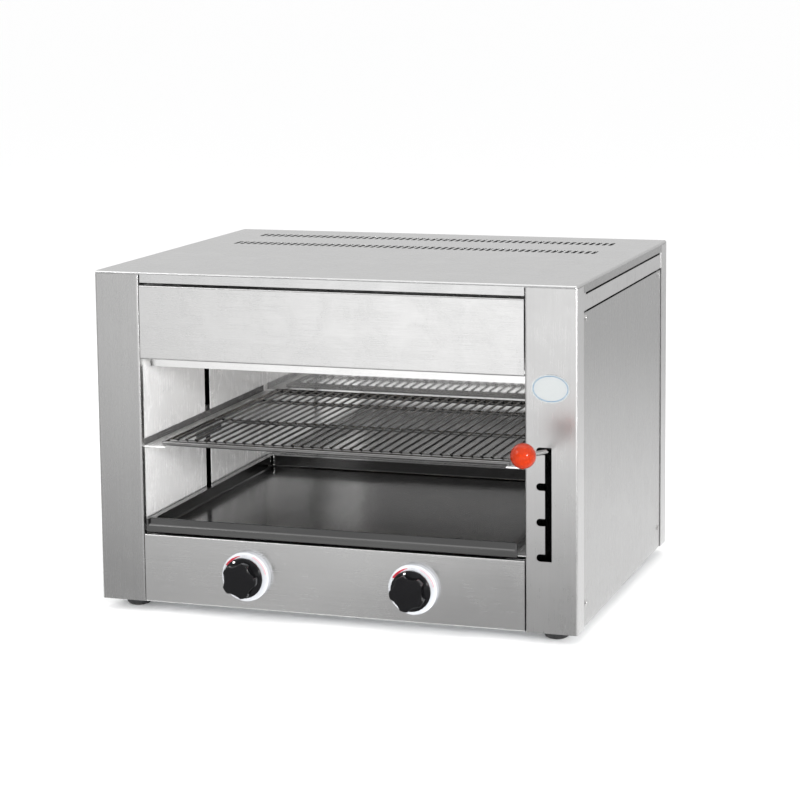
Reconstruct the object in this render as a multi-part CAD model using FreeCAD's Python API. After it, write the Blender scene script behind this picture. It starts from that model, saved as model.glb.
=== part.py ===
import FreeCAD, Part
import math
import os

V = FreeCAD.Vector

# Whole body, measured from its front face (Y), its left-right centre (X) and its bottom face (Z)
body_width = 625.0
body_depth = 495.0
body_height = 422.0
foot_stand = 13.5

# Sheet metal, gaps and cuts
skin = 1.5
liner = 1.2
corner_bend = 3.0
panel_bend = 2.0
liner_bend = 1.6
fit_gap = 0.3
running_gap = 0.05
seam = 0.8
overrun = 4.0

# Front columns and back corners of the two side frames
left_column_width = 60.0
right_column_width = 65.0
column_return = 8.0
column_side = 30.0
back_column_side = 33.0
back_return = 25.0
side_inset = 1.2
ledge_width = 24.0
bottom_rail_height = 18.0
strip_height = 18.8
strip_flange = 16.0
slit_front_inset = 44.0
slit_back_inset = 40.0
side_slit = 3.2
panel_slit = 2.4
side_panel_gap = 3.0

# Top cover and its vent slots
cover_band = 3.3
cover_front_drop = 13.7
cover_side_drop = 12.4
cover_side_clearance = 0.8
cover_lip_left_gap = 2.0
cover_lip_right_gap = 0.3
vent_row_back_gaps = (166.0, 70.0)
vent_row_inset = 52.5
vent_pitch = 9.0
vent_length = 28.0
vent_width = 5.0

# Hood panel over the opening and lower panel under it
hood_gap = 3.4
hood_height = 93.4
lower_panel_height = 87.3

# Cavity liner
wall_offset = 4.0
wall_top_gap = 19.2
wall_back_gap = 19.0
cavity_back_gap = 68.0
cavity_back_drop = 15.0
cavity_back_rise = 2.0
slot_depth = 220.0
slot_width = 18.0
slot_above_stud = 98.9
slot_below_stud = 95.1

# Burner box and burners
box_side_gap = 7.5
box_front = 24.0
box_back_gap = 7.0
box_top_gap = 36.0
box_height = 87.0
box_hem = 8.0
burner_height = 45.0
burner_side_gap = 32.0
burner_middle_gap = 10.0
burner_front_gap = 86.0
burner_back_gap = 80.0
burner_wall = 2.5
burner_lug = (24.0, 30.0)
burner_lug_height = 9.5
tile_thickness = 14.0
tile_drop = 4.0
venturi_radius = 12.0
venturi_wall = 1.5
venturi_reach = 23.0
venturi_rise = 22.0
venturi_clearance = 1.5

# Gas train
knob_height = 43.5
valve_front = 1.8
valve_block = (30.0, 46.0, 22.0)
bonnet_length = 12.0
bonnet_radius = 9.0
valve_outlet_radius = 7.0
valve_outlet_length = 8.0
stub_radius = 7.0
spindle_radius = 4.0
spindle_depth = 22.0
spindle_past_dial = 16.5
spindle_flat = 1.4
spindle_flat_length = 12.0
manifold_radius = 10.6
manifold_depth = 45.0
manifold_height = 21.5
manifold_bore = 8.4
manifold_left_reach = 36.5
manifold_bend = 25.0
manifold_back_gap = 25.3
inlet_inset = 82.5
inlet_hex = 15.0
flat_count = 6
inlet_hex_length = 18.0
inlet_neck_radius = 9.5
inlet_neck_length = 8.0
inlet_thread_radius = 10.48
inlet_thread_length = 24.0
inlet_bore = 7.5
inlet_hole_clearance = 1.5
pipe_radius = 4.0
pipe_bore = 3.0
pipe_bend = 12.0
pipe_back_gap = 15.0
injector_radius = 7.0
injector_length = 14.0
sensor_radius = 1.5
sensor_side = 18.0
sensor_rise = 8.0
sensor_back_gap = 27.0
sensor_tip_rise = 7.0
sensor_bend = 8.0
sensor_hole_clearance = 1.0

# Dials and knobs
dial_radius = 31.3
dial_thickness = 9.0
dial_edge = 2.0
dial_hole = 7.0
spindle_hole = 6.0
knob_stand_off = 4.2
skirt_radius = 25.5
skirt_rim = 4.0
skirt_dome = 5.5
skirt_edge = 1.2
grip_radius = 22.5
grip_length = 15.0
grip_edge = 1.6
grip_corner = 3.0
flute_radius = 22.0
flute_bite = 3.8
lobe_count = 5
left_lobe_angle = 215.0
right_lobe_angle = 187.0
bore_slack = 4.2
bore_clearance = 0.08

# Lift: cross shaft, arms and their pins
pivot_back_gap = 40.0
notch_top_height = 222.5
notch_pitch = 43.3
notch_count = 4
shaft_radius = 6.0
shaft_overhang = 0.5
bush_radius = 8.0
bush_flange_radius = 11.0
bush_flange = 2.0
bush_length = 10.0
arm_gap = 13.3
arm_thickness = 3.0
arm_height = 24.0
arm_tail = 14.0
arm_nose = 20.0
hub_radius = 12.0
hub_length = 12.0
arm_slot_clearance = 0.4
arm_slot_play = 1.6

# Carriers, their guides and the rack rails
block_start = 3.2
block_width = 22.0
block_depth = 28.0
block_height = 40.0
guide_radius = 4.0
guide_overhang = 4.0
bracket_thickness = 3.0
bracket_leg = 16.0
bracket_below_slot = 12.0
bracket_above_slot = 6.0
stud_radius = 5.0
stud_end = 8.0
pin_head_radius = 7.0
pin_head = 2.0
nut_radius = 6.4
nut_length = 5.5
rail_shelf = 30.0
rail_lip = 9.2
rail_above_stud = 7.9
rail_front = 10.0
rail_back_gap = 9.0
hanger_length = 84.0
hanger_drop = 26.0

# Wire rack
rack_front = 16.0
rack_back_gap = 22.0
rack_side_gap = 27.0
frame_rod_radius = 3.0
cross_rod_radius = 2.5
cross_rod_inset = 15.0
cross_rod_shares = (0.0, 0.404, 0.808, 1.0)
wire_radius = 1.5
wire_pitch = 13.0
wire_tip = 4.0

# Lever rod, its swing eye and the ball
lever_radius = 3.0
lever_eye_radius = 6.0
lever_eye_height = 10.0
lever_eye_reach = 60.0
lever_eye_gap = 8.0
lever_front_gap = 0.9
lever_reach = 94.0
swing_pin_radius = 3.0
swing_pin_head = 4.5
swing_pin_head_height = 1.5
clevis_thickness = 3.0
clevis_gap = 0.3
clevis_depth = 14.0
ball_radius = 15.0
ball_socket = 12.0
ball_flat = 1.0

# Comb slot in the right column
channel_inset = 36.2
channel_width = 8.3
notch_height = 9.1
notch_reach = 10.7

# Drip tray and its runners
tray_left_gap = 7.2
tray_right_gap = 14.3
tray_front = 1.0
tray_back_gap = 5.0
tray_gap = 2.7
tray_height = 17.0
tray_rim = 7.0
tray_corner = 6.0
tray_lip_height = 8.5
tray_slope_run = 7.0
tray_crest = 2.2
tray_hem = 4.0
tray_tab_width = 2.4
runner_width = 26.0
runner_extra = 6.0
runner_drop = 18.0
runner_front = 16.0

# Back panel with its vents
back_panel_bottom = 2.0
back_panel_drop = 17.0
back_panel_gap = 6.0
back_vent_length = 46.0
back_vent_width = 5.0
back_vent_pitch = 15.0
back_vent_side = 130.0
back_vent_drop = 95.0
back_vent_count = 6

# Base pan
pan_flange = 16.0

# Feet
foot_inset = 35.0
foot_radius = 16.0
foot_edge = 7.5
foot_stud_radius = 3.0
foot_stud_sink = 7.0
foot_nut_radius = 5.5
foot_nut_height = 5.0

# Screws
screw_head_radius = 3.5
screw_head = 1.8
screw_radius = 2.0
screw_length = 7.0
screw_slot_width = 1.0
screw_slot_depth = 0.7
screw_hole_clearance = 0.15
side_screw_front = 42.4
side_screw_back_gap = 47.0
side_screw_low = 30.0
side_screw_drop = 6.5
back_screw_side = 12.0
back_screw_low = 40.0
back_screw_drop = 35.0
back_screw_count = 4

# Blank oval badge
badge_inset = 33.0
badge_above_notch = 76.0
badge_half_width = 23.3
badge_half_height = 17.3
badge_thickness = 1.0

# Places worked out from the sizes above
half_width = body_width / 2
opening_left = left_column_width - half_width
opening_right = half_width - right_column_width
cavity_centre = (opening_left + opening_right) / 2
cavity_depth = body_depth - cavity_back_gap
wall_half = (opening_right - opening_left) / 2 + wall_offset
wall_outer = wall_half + liner
wall_bottom = skin + fit_gap
wall_top = body_height - wall_top_gap
wall_back = body_depth - wall_back_gap
side_face = half_width - side_inset
ledge_face = side_face - liner - fit_gap
frame_inner = ledge_face - skin
strip_top = body_height - cover_side_drop - side_slit
strip_bottom = strip_top - strip_height
side_panel_top = strip_bottom - panel_slit
side_screw_back = body_depth - side_screw_back_gap
side_screw_heights = (side_screw_low, side_panel_top - side_screw_drop)
back_inner_face = body_depth - skin - fit_gap
back_panel_top = body_height - back_panel_drop
back_screw_high = back_panel_top - back_screw_drop
back_screw_step = (back_screw_high - back_screw_low) / (back_screw_count - 1)
back_screw_heights = [back_screw_low + index * back_screw_step for index in range(back_screw_count)]
hood_top = body_height - cover_front_drop - hood_gap
hood_bottom = hood_top - hood_height
vent_row_length = body_width - 2 * vent_row_inset

# Places of the burners and the gas train
box_half = wall_half - box_side_gap
box_back = cavity_depth - box_back_gap
box_top = body_height - box_top_gap
box_bottom = box_top - box_height
burner_width = box_half - burner_side_gap - burner_middle_gap / 2
burner_front = box_front + burner_front_gap
burner_back = box_back - burner_back_gap
burner_top = box_top - liner - fit_gap - burner_lug_height
burner_bottom = burner_top - burner_height
venturi_end = cavity_depth + venturi_reach
venturi_height = burner_bottom + venturi_rise
knob_spacing = burner_width + burner_middle_gap
manifold_end = body_depth - manifold_back_gap
inlet_side = half_width - inlet_inset
inlet_start = manifold_end + fit_gap
thread_start = inlet_start + inlet_hex_length + inlet_neck_length
thread_end = thread_start + inlet_thread_length
pipe_depth = body_depth - pipe_back_gap
spindle_reach = dial_thickness + spindle_past_dial
sensor_depth = body_depth - sensor_back_gap
sensor_height = burner_bottom + sensor_tip_rise

# Places of the lift, the rack and the tray
pivot_depth = body_depth - pivot_back_gap
lever_travel = notch_pitch * (notch_count - 1)
pivot_height = notch_top_height - lever_travel / 2
rest_tilt = math.degrees(math.atan(lever_travel / 2 / pivot_depth))
carrier_reach = pivot_depth - slot_depth
stud_height = pivot_height + carrier_reach * math.tan(math.radians(rest_tilt))
slot_bottom = stud_height - slot_below_stud
slot_top = stud_height + slot_above_stud
bracket_low = slot_bottom - bracket_below_slot
bracket_high = slot_top + bracket_above_slot
block_inner = wall_outer + block_start - liner
block_outer = block_inner + block_width
guide_side = block_inner + block_width / 2
arm_side = block_outer + arm_gap
lever_eye_depth = slot_depth - lever_eye_reach
lever_eye_side = cavity_centre + arm_side - lever_eye_gap
channel_centre = half_width - channel_inset
lever_front_side = channel_centre - lever_front_gap
ball_distance = (pivot_depth + lever_reach) / math.cos(math.radians(rest_tilt))
rail_top = stud_height + rail_above_stud
rail_back = cavity_depth - rail_back_gap
rack_back = cavity_depth - rack_back_gap
rack_half_width = wall_half - rack_side_gap
rack_height = rail_top + fit_gap + frame_rod_radius
wire_height = rack_height + cross_rod_radius + wire_radius
cross_rod_start = rack_front + cross_rod_inset
cross_rod_end = rack_back - cross_rod_inset
tray_left = cavity_centre - wall_half + tray_left_gap
tray_right = cavity_centre + wall_half - tray_right_gap
tray_back = cavity_depth - tray_back_gap
tray_bottom = lower_panel_height + tray_gap
tray_top = tray_bottom + tray_height

# The origin lies under the middle of the whole melter, from its ball to the end of its gas thread
front_end = -lever_reach - ball_radius
row_shift = V(0, -(front_end + thread_end) / 2, foot_stand)


# Shapes that several pieces share

def block(xs, ys, zs):
    low = V(min(xs), min(ys), min(zs))
    size = V(max(xs), max(ys), max(zs)) - low
    return Part.makeBox(size.x, size.y, size.z, low)


def rod(radius, start, end):
    return Part.makeCylinder(radius, (end - start).Length, start, end - start)


def tube(outer, inner, start, end):
    reach = (end - start).normalize() * overrun
    return rod(outer, start, end).cut(rod(inner, start - reach, end + reach))


def joined(shapes):
    return shapes[0].multiFuse(shapes[1:]).removeSplitter()


def group(shapes):
    return Part.makeCompound(shapes)


def mirrored_pair(make):
    return group([make(-1), make(1)])


def placed(plane, along, across, level):
    if plane == "xy":
        return V(along, across, level)
    if plane == "xz":
        return V(along, level, across)
    return V(level, along, across)


def corner_points(before, corner, after, radius):
    back = (before - corner).normalize()
    ahead = (after - corner).normalize()
    half = back.getAngle(ahead) / 2
    reach = radius / math.tan(half)
    middle = (back + ahead).normalize() * (radius / math.sin(half) - radius)
    return corner + back * reach, corner + middle, corner + ahead * reach


def closed_wire(points, radii):
    edges = []
    starts = []
    ends = []
    for index, corner in enumerate(points):
        before = points[index - 1]
        after = points[(index + 1) % len(points)]
        if radii[index] > 0:
            start, middle, end = corner_points(before, corner, after, radii[index])
            edges.append(Part.Arc(start, middle, end).toShape())
        else:
            start = end = corner
        starts.append(start)
        ends.append(end)
    for index, end in enumerate(ends):
        start = starts[(index + 1) % len(points)]
        if (start - end).Length > 0:
            edges.append(Part.LineSegment(end, start).toShape())
    return Part.Wire(Part.__sortEdges__(edges))


def prism(plane, outline, radii, start, end):
    points = [placed(plane, a, b, start) for a, b in outline]
    face = Part.Face(closed_wire(points, radii))
    return face.extrude(placed(plane, 0, 0, end - start))


def offset_path(path, distance):
    lines = []
    for (a0, b0), (a1, b1) in zip(path, path[1:]):
        length = math.hypot(a1 - a0, b1 - b0)
        normal = (-(b1 - b0) / length * distance, (a1 - a0) / length * distance)
        lines.append(((a0 + normal[0], b0 + normal[1]), (a1 + normal[0], b1 + normal[1])))
    moved = [lines[0][0]]
    for (p, q), (r, s) in zip(lines, lines[1:]):
        first = (q[0] - p[0], q[1] - p[1])
        second = (s[0] - r[0], s[1] - r[1])
        cross = first[0] * second[1] - first[1] * second[0]
        share = ((r[0] - p[0]) * second[1] - (r[1] - p[1]) * second[0]) / cross
        moved.append((p[0] + first[0] * share, p[1] + first[1] * share))
    moved.append(lines[-1][1])
    return moved


def folded(plane, path, thickness, bend, start, end):
    # A bent sheet: the path is its outer line, and the thickness lies to the left of it
    inner = offset_path(path, thickness)
    bends = len(path[1:-1])
    radii = [0] + [bend] * bends + [0]
    radii = radii + [0] + [bend - abs(thickness)] * bends + [0]
    return prism(plane, path + inner[::-1], radii, start, end)


def pan(xs, ys, zs, wall):
    # A shallow box of sheet that is open at its top
    inner_xs = (min(xs) + wall, max(xs) - wall)
    inner_ys = (min(ys) + wall, max(ys) - wall)
    inner_zs = (min(zs) + wall, max(zs) + overrun)
    return block(xs, ys, zs).cut(block(inner_xs, inner_ys, inner_zs))


def rounded_edges(shape, radius, chosen):
    edges = [edge for edge in shape.Edges if chosen(edge)]
    return shape.makeFillet(radius, edges)


def near(value, target):
    return abs(value - target) < running_gap


def bent_rod(radius, points, bend):
    # A round bar through the points, with an arc of one radius at each corner
    edges = []
    start = points[0]
    for before, corner, after in zip(points, points[1:], points[2:]):
        near_end, middle, far_end = corner_points(before, corner, after, bend)
        edges.append(Part.LineSegment(start, near_end).toShape())
        edges.append(Part.Arc(near_end, middle, far_end).toShape())
        start = far_end
    edges.append(Part.LineSegment(start, points[-1]).toShape())
    circle = Part.Circle(points[0], points[1] - points[0], radius).toShape()
    return Part.Wire(edges).makePipeShell([Part.Wire([circle])], True, False)


def bent_tube(radius, bore, points, bend):
    # The same bar with a bore that goes out through both its ends
    start = points[0] + (points[0] - points[1]).normalize() * overrun
    end = points[-1] + (points[-1] - points[-2]).normalize() * overrun
    return bent_rod(radius, points, bend).cut(bent_rod(bore, [start] + points[1:-1] + [end], bend))


def side_x(distance, side):
    return cavity_centre + side * distance


def knob_x(side):
    return cavity_centre + side * knob_spacing / 2


def tilted(shape):
    # Lift the arm that is drawn level to its place at rest
    turned = shape.copy()
    turned.rotate(V(0, pivot_depth, pivot_height), V(-1, 0, 0), rest_tilt)
    return turned


# Outer casing

def side_frame(side):
    inner_x = opening_left if side < 0 else opening_right
    outer_x = side * half_width
    column_top = body_height - cover_band - fit_gap
    column_path = [(inner_x, column_return), (inner_x, 0), (outer_x, 0), (outer_x, column_side)]
    column = folded("xy", column_path, side * skin, corner_bend, 0, column_top)
    back_start = body_depth - back_column_side
    back_path = [(outer_x, back_start), (outer_x, body_depth), (outer_x - side * back_return, body_depth)]
    back = folded("xy", back_path, side * skin, corner_bend, 0, column_top)
    wall_xs = (side * frame_inner, outer_x)
    ledge_xs = (side * frame_inner, side * ledge_face)
    face_xs = (side * frame_inner, side * side_face)
    full_ys = (column_side - skin, back_start + skin)
    strip_zs = (strip_bottom, strip_top)
    end_top = body_height - cover_side_drop - fit_gap
    pieces = [column, back]
    pieces.append(block(wall_xs, (column_side - skin, column_side), (0, column_top)))
    pieces.append(block(wall_xs, (back_start, back_start + skin), (0, column_top)))
    pieces.append(block(ledge_xs, (column_side - skin, column_side + ledge_width), (0, strip_top)))
    pieces.append(block(ledge_xs, (back_start - ledge_width, back_start + skin), (0, strip_top)))
    pieces.append(block(ledge_xs, full_ys, (0, bottom_rail_height)))
    pieces.append(block(face_xs, full_ys, strip_zs))
    pieces.append(block(face_xs, (column_side - skin, slit_front_inset), (strip_bottom, end_top)))
    back_slit = body_depth - slit_back_inset
    pieces.append(block(face_xs, (back_slit, back_start + skin), (strip_bottom, end_top)))
    flange_xs = (side * (side_face - strip_flange), side * side_face)
    pieces.append(block(flange_xs, (column_side, back_start), (strip_bottom, strip_bottom + skin)))
    frame = joined(pieces)
    holes = [side_screw_hole(side, depth, height) for depth, height in side_screw_places()]
    holes += [back_screw_hole(side, height) for height in back_screw_heights]
    if side > 0:
        holes.append(comb_slot())
    return frame.cut(holes)


def comb_slot():
    channel_xs = (channel_centre - channel_width / 2, channel_centre + channel_width / 2)
    half_notch = notch_height / 2
    top = notch_top_height + half_notch
    bottom = notch_top_height - lever_travel - half_notch
    ys = (-overrun, skin + overrun)
    cuts = [block(channel_xs, ys, (bottom, top))]
    for index in range(notch_count):
        level = notch_top_height - index * notch_pitch
        end_x = channel_xs[0] - notch_reach + half_notch
        cuts.append(block((end_x, channel_centre), ys, (level - half_notch, level + half_notch)))
        cuts.append(rod(half_notch, V(end_x, ys[0], level), V(end_x, ys[1], level)))
    return joined(cuts)


def side_screw_places():
    depths = (side_screw_front, side_screw_back)
    return [(depth, height) for depth in depths for height in side_screw_heights]


def side_screw_hole(side, depth, height):
    radius = screw_radius + screw_hole_clearance
    start = V(side * (frame_inner - overrun), depth, height)
    return rod(radius, start, V(side * (side_face + overrun), depth, height))


def back_screw_hole(side, height):
    radius = screw_radius + screw_hole_clearance
    x = side * (half_width - back_return + back_screw_side)
    return rod(radius, V(x, back_inner_face - overrun, height), V(x, body_depth + overrun, height))


def side_panel(side):
    xs = (side * (side_face - liner), side * side_face)
    ys = (column_side + side_panel_gap, body_depth - back_column_side - side_panel_gap)
    sheet = block(xs, ys, (skin, side_panel_top))
    holes = [side_screw_hole(side, depth, height) for depth, height in side_screw_places()]
    return sheet.cut(holes)


def screw(head_face, outward, slot_axis):
    # A round-headed screw whose head sits on head_face and points outward
    top = head_face + outward * screw_head
    body = rod(screw_head_radius, head_face, top)
    body = rounded_edges(body, screw_head / 2, lambda edge: on_circle_at(edge, top))
    shank = rod(screw_radius, head_face - outward * screw_length, head_face)
    half = slot_axis * (screw_head_radius + overrun)
    across = outward.cross(slot_axis) * (screw_slot_width / 2)
    deep = outward * screw_slot_depth
    corners = [top - half - across, top - half + across, top + half + across, top + half - across]
    low = [corner - deep for corner in corners]
    face = Part.Face(Part.makePolygon(low + [low[0]]))
    slot = face.extrude(outward * (screw_slot_depth + overrun))
    return joined([body, shank]).cut(slot)


def on_circle_at(edge, centre):
    curve = edge.Curve
    return curve.TypeId == "Part::GeomCircle" and (curve.Center - centre).Length < running_gap


def side_panel_screws():
    screws = []
    for side in (-1, 1):
        for depth, height in side_screw_places():
            screws.append(screw(V(side * side_face, depth, height), V(side, 0, 0), V(0, 0, 1)))
    return group(screws)


def top_cover():
    plate_zs = (body_height - skin, body_height)
    outer = pan((-half_width, half_width), (0, body_depth), (0, cover_band), skin)
    outer.rotate(V(0, body_depth / 2, 0), V(0, 1, 0), 180)
    outer.translate(V(0, 0, body_height))
    front_xs = (opening_left + cover_lip_left_gap, opening_right - cover_lip_right_gap)
    front_zs = (body_height - cover_front_drop, plate_zs[0])
    back_xs = (back_return - half_width, half_width - back_return)
    pieces = [outer, block(front_xs, (0, skin), front_zs)]
    pieces.append(block(back_xs, (body_depth - skin, body_depth), front_zs))
    side_ys = (column_side + cover_side_clearance, body_depth - back_column_side - cover_side_clearance)
    side_zs = (body_height - cover_side_drop, plate_zs[0])
    for side in (-1, 1):
        pieces.append(block((side * (half_width - skin), side * half_width), side_ys, side_zs))
    cover = joined(pieces)
    cover = rounded_edges(cover, corner_bend, is_cover_corner)
    return cover.cut(vent_slots(plate_zs))


def is_cover_corner(edge):
    middle = edge.BoundBox.Center
    box = edge.BoundBox
    on_side = near(abs(middle.x), half_width)
    on_end = near(middle.y, 0) or near(middle.y, body_depth)
    flat = box.ZLength < running_gap and near(middle.z, body_height)
    upright = box.XLength < running_gap and box.YLength < running_gap
    return (flat and (on_side or on_end)) or (upright and on_side and on_end)


def vent_slots(plate_zs):
    zs = (plate_zs[0] - overrun, plate_zs[1] + overrun)
    count = int(vent_row_length / vent_pitch)
    slots = []
    for back_gap in vent_row_back_gaps:
        for index in range(count):
            x = (index - (count - 1) / 2) * vent_pitch
            slots.append(long_hole(x, body_depth - back_gap, vent_width, vent_length, zs))
    return slots


def long_hole(x, y, width, length, zs):
    half = width / 2
    reach = length / 2
    outline = [(x - half, y - reach), (x + half, y - reach), (x + half, y + reach), (x - half, y + reach)]
    radius = half - running_gap
    return prism("xy", outline, [radius] * len(outline), zs[0], zs[1])


def hood_panel():
    path = [(column_return, hood_bottom), (0, hood_bottom), (0, hood_top), (column_return, hood_top)]
    return folded("yz", path, -skin, panel_bend, opening_left + seam, opening_right - seam)


def lower_panel():
    top = lower_panel_height
    path = [(column_return, 0), (0, 0), (0, top), (column_return, top)]
    sheet = folded("yz", path, -skin, panel_bend, opening_left + seam, opening_right - seam)
    holes = []
    for side in (-1, 1):
        centre = V(knob_x(side), 0, knob_height)
        holes.append(rod(spindle_hole, centre - V(0, overrun, 0), centre + V(0, skin + overrun, 0)))
    return sheet.cut(holes)


def base_pan():
    front = column_return + fit_gap
    half = frame_inner - fit_gap
    back = back_inner_face - liner - fit_gap
    sheet = pan((-half, half), (front, back), (0, pan_flange), skin)
    holes = []
    for place in foot_places():
        radius = foot_stud_radius + screw_hole_clearance
        holes.append(rod(radius, place - V(0, 0, overrun), place + V(0, 0, skin + overrun)))
    holes.append(inlet_hole((back - overrun, back + overrun)))
    return sheet.cut(holes)


def inlet_hole(ys):
    radius = inlet_thread_radius + inlet_hole_clearance
    return rod(radius, V(inlet_side, ys[0], manifold_height), V(inlet_side, ys[1], manifold_height))


def back_panel():
    half = half_width - skin - back_panel_gap
    ys = (back_inner_face - liner, back_inner_face)
    sheet = block((-half, half), ys, (back_panel_bottom, back_panel_top))
    cuts = [back_screw_hole(side, height) for side in (-1, 1) for height in back_screw_heights]
    hole_ys = (ys[0] - overrun, ys[1] + overrun)
    for side in (-1, 1):
        for index in range(back_vent_count):
            x = side * back_vent_side
            top = back_panel_top - back_vent_drop - index * back_vent_pitch
            xs = (x - back_vent_length / 2, x + back_vent_length / 2)
            cuts.append(block(xs, hole_ys, (top - back_vent_width, top)))
    cuts.append(inlet_hole(hole_ys))
    return sheet.cut(cuts)


def back_panel_screws():
    screws = []
    for side in (-1, 1):
        for height in back_screw_heights:
            x = side * (half_width - back_return + back_screw_side)
            screws.append(screw(V(x, body_depth, height), V(0, 1, 0), V(0, 0, 1)))
    return group(screws)


def badge():
    ellipse = Part.Ellipse(V(0, 0, 0), badge_half_width, badge_half_height)
    face = Part.Face(Part.Wire([ellipse.toShape()]))
    plate = face.extrude(V(0, 0, badge_thickness))
    plate.rotate(V(0, 0, 0), V(1, 0, 0), 90)
    plate.translate(V(half_width - badge_inset, 0, notch_top_height + badge_above_notch))
    return plate


# Cavity liner and burners

def cavity_wall(side):
    front = column_return + fit_gap + skin + fit_gap
    xs = (side_x(wall_half, side), side_x(wall_outer, side))
    sheet = block(xs, (front, wall_back), (wall_bottom, wall_top))
    cut_xs = (side_x(wall_half - overrun, side), side_x(wall_outer + overrun, side))
    slot_ys = (slot_depth - slot_width / 2, slot_depth + slot_width / 2)
    slot = block(cut_xs, slot_ys, (slot_bottom, slot_top))
    start = V(cut_xs[0], pivot_depth, pivot_height)
    end = V(cut_xs[1], pivot_depth, pivot_height)
    return sheet.cut([slot, rod(bush_radius + running_gap, start, end)])


def venturi_holes(ys):
    holes = []
    for side in (-1, 1):
        x = knob_x(side)
        radius = venturi_radius + venturi_clearance
        holes.append(rod(radius, V(x, ys[0], venturi_height), V(x, ys[1], venturi_height)))
        sensor_x = x + sensor_side
        radius = sensor_radius + sensor_hole_clearance
        holes.append(rod(radius, V(sensor_x, ys[0], sensor_height), V(sensor_x, ys[1], sensor_height)))
    return holes


def cavity_back():
    half = wall_half - fit_gap
    xs = (side_x(half, -1), side_x(half, 1))
    zs = (tray_bottom - cavity_back_drop, box_top + cavity_back_rise)
    sheet = block(xs, (cavity_depth, cavity_depth + liner), zs)
    return sheet.cut(venturi_holes((cavity_depth - overrun, cavity_depth + liner + overrun)))


def burner_box():
    xs = (side_x(box_half, -1), side_x(box_half, 1))
    hollow_xs = (xs[0] + liner, xs[1] - liner)
    hollow_ys = (box_front + liner, box_back - liner)
    shell = block(xs, (box_front, box_back), (box_bottom, box_top))
    shell = shell.cut(block(hollow_xs, hollow_ys, (box_bottom - overrun, box_top - liner)))
    hem = block(xs, (box_front, box_front + box_hem), (box_bottom, box_bottom + liner))
    flange = wall_half - fit_gap
    flange_xs = (side_x(flange, -1), side_x(flange, 1))
    top = block(flange_xs, (box_front, box_back), (box_top - liner, box_top))
    holes = venturi_holes((box_back - liner - overrun, box_back + overrun))
    return joined([shell, hem, top]).cut(holes)


def burner_xs(side, inset):
    half = burner_width / 2 - inset
    return (knob_x(side) - half, knob_x(side) + half)


def burner_ys(inset):
    return (burner_front + inset, burner_back - inset)


def burner(side):
    shell = block(burner_xs(side, 0), burner_ys(0), (burner_bottom, burner_top))
    hollow_zs = (burner_bottom - overrun, burner_top - burner_wall)
    shell = shell.cut(block(burner_xs(side, burner_wall), burner_ys(burner_wall), hollow_zs))
    x = knob_x(side)
    mouth = V(x, burner_back - burner_wall, venturi_height)
    end = V(x, venturi_end, venturi_height)
    pieces = [shell, rod(venturi_radius, mouth, end)]
    for y in burner_ys(burner_lug[1]):
        lug_xs = (x - burner_lug[0] / 2, x + burner_lug[0] / 2)
        lug_ys = (y - burner_lug[1] / 2, y + burner_lug[1] / 2)
        lug_zs = (burner_top - burner_wall, burner_top + burner_lug_height)
        pieces.append(block(lug_xs, lug_ys, lug_zs))
    bore = rod(venturi_radius - venturi_wall, mouth - V(0, overrun, 0), end + V(0, overrun, 0))
    return joined(pieces).cut(bore)


def burner_tile(side):
    gap = burner_wall + fit_gap
    low = burner_bottom - tile_drop
    return block(burner_xs(side, gap), burner_ys(gap), (low, low + tile_thickness))


# Gas train

def valve(side):
    x = knob_x(side)
    axis_start = V(x, valve_front, knob_height)
    block_front = valve_front + bonnet_length
    block_back = block_front + valve_block[1]
    half = valve_block[0] / 2
    half_height = valve_block[2] / 2
    zs = (knob_height - half_height, knob_height + half_height)
    pieces = [block((x - half, x + half), (block_front, block_back), zs)]
    pieces.append(rod(bonnet_radius, axis_start, V(x, block_front, knob_height)))
    outlet_end = V(x, block_back + valve_outlet_length, knob_height)
    pieces.append(rod(valve_outlet_radius, V(x, block_back, knob_height), outlet_end))
    body = joined(pieces)
    bore_radius = spindle_radius + running_gap
    bore_end = V(x, valve_front + spindle_depth, knob_height)
    bore = rod(bore_radius, axis_start - V(0, overrun, 0), bore_end)
    stub = rod(stub_radius, V(x, manifold_depth, manifold_height), V(x, manifold_depth, knob_height))
    rail = rod(manifold_radius + running_gap, V(x - half, manifold_depth, manifold_height),
               V(x + half, manifold_depth, manifold_height))
    return joined([body, stub]).cut([bore, rail])


def manifold():
    left = V(knob_x(-1) - manifold_left_reach, manifold_depth, manifold_height)
    corner = V(inlet_side, manifold_depth, manifold_height)
    end = V(inlet_side, manifold_end, manifold_height)
    bar = bent_rod(manifold_radius, [left, corner, end], manifold_bend)
    closed_end = left + V(manifold_radius - manifold_bore, 0, 0)
    open_end = end + V(0, overrun, 0)
    return bar.cut(bent_rod(manifold_bore, [closed_end, corner, open_end], manifold_bend))


def gas_inlet():
    start = V(inlet_side, inlet_start, manifold_height)
    hex_end = start + V(0, inlet_hex_length, 0)
    neck_end = V(inlet_side, thread_start, manifold_height)
    end = V(inlet_side, thread_end, manifold_height)
    outline = []
    for index in range(flat_count):
        angle = 2 * math.pi * index / flat_count
        a = start.x + inlet_hex * math.cos(angle)
        outline.append((a, start.z + inlet_hex * math.sin(angle)))
    nut = prism("xz", outline, [0] * flat_count, start.y, hex_end.y)
    neck = rod(inlet_neck_radius, hex_end, neck_end)
    body = joined([nut, neck, rod(inlet_thread_radius, neck_end, end)])
    return body.cut(rod(inlet_bore, start - V(0, overrun, 0), end + V(0, overrun, 0)))


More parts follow.
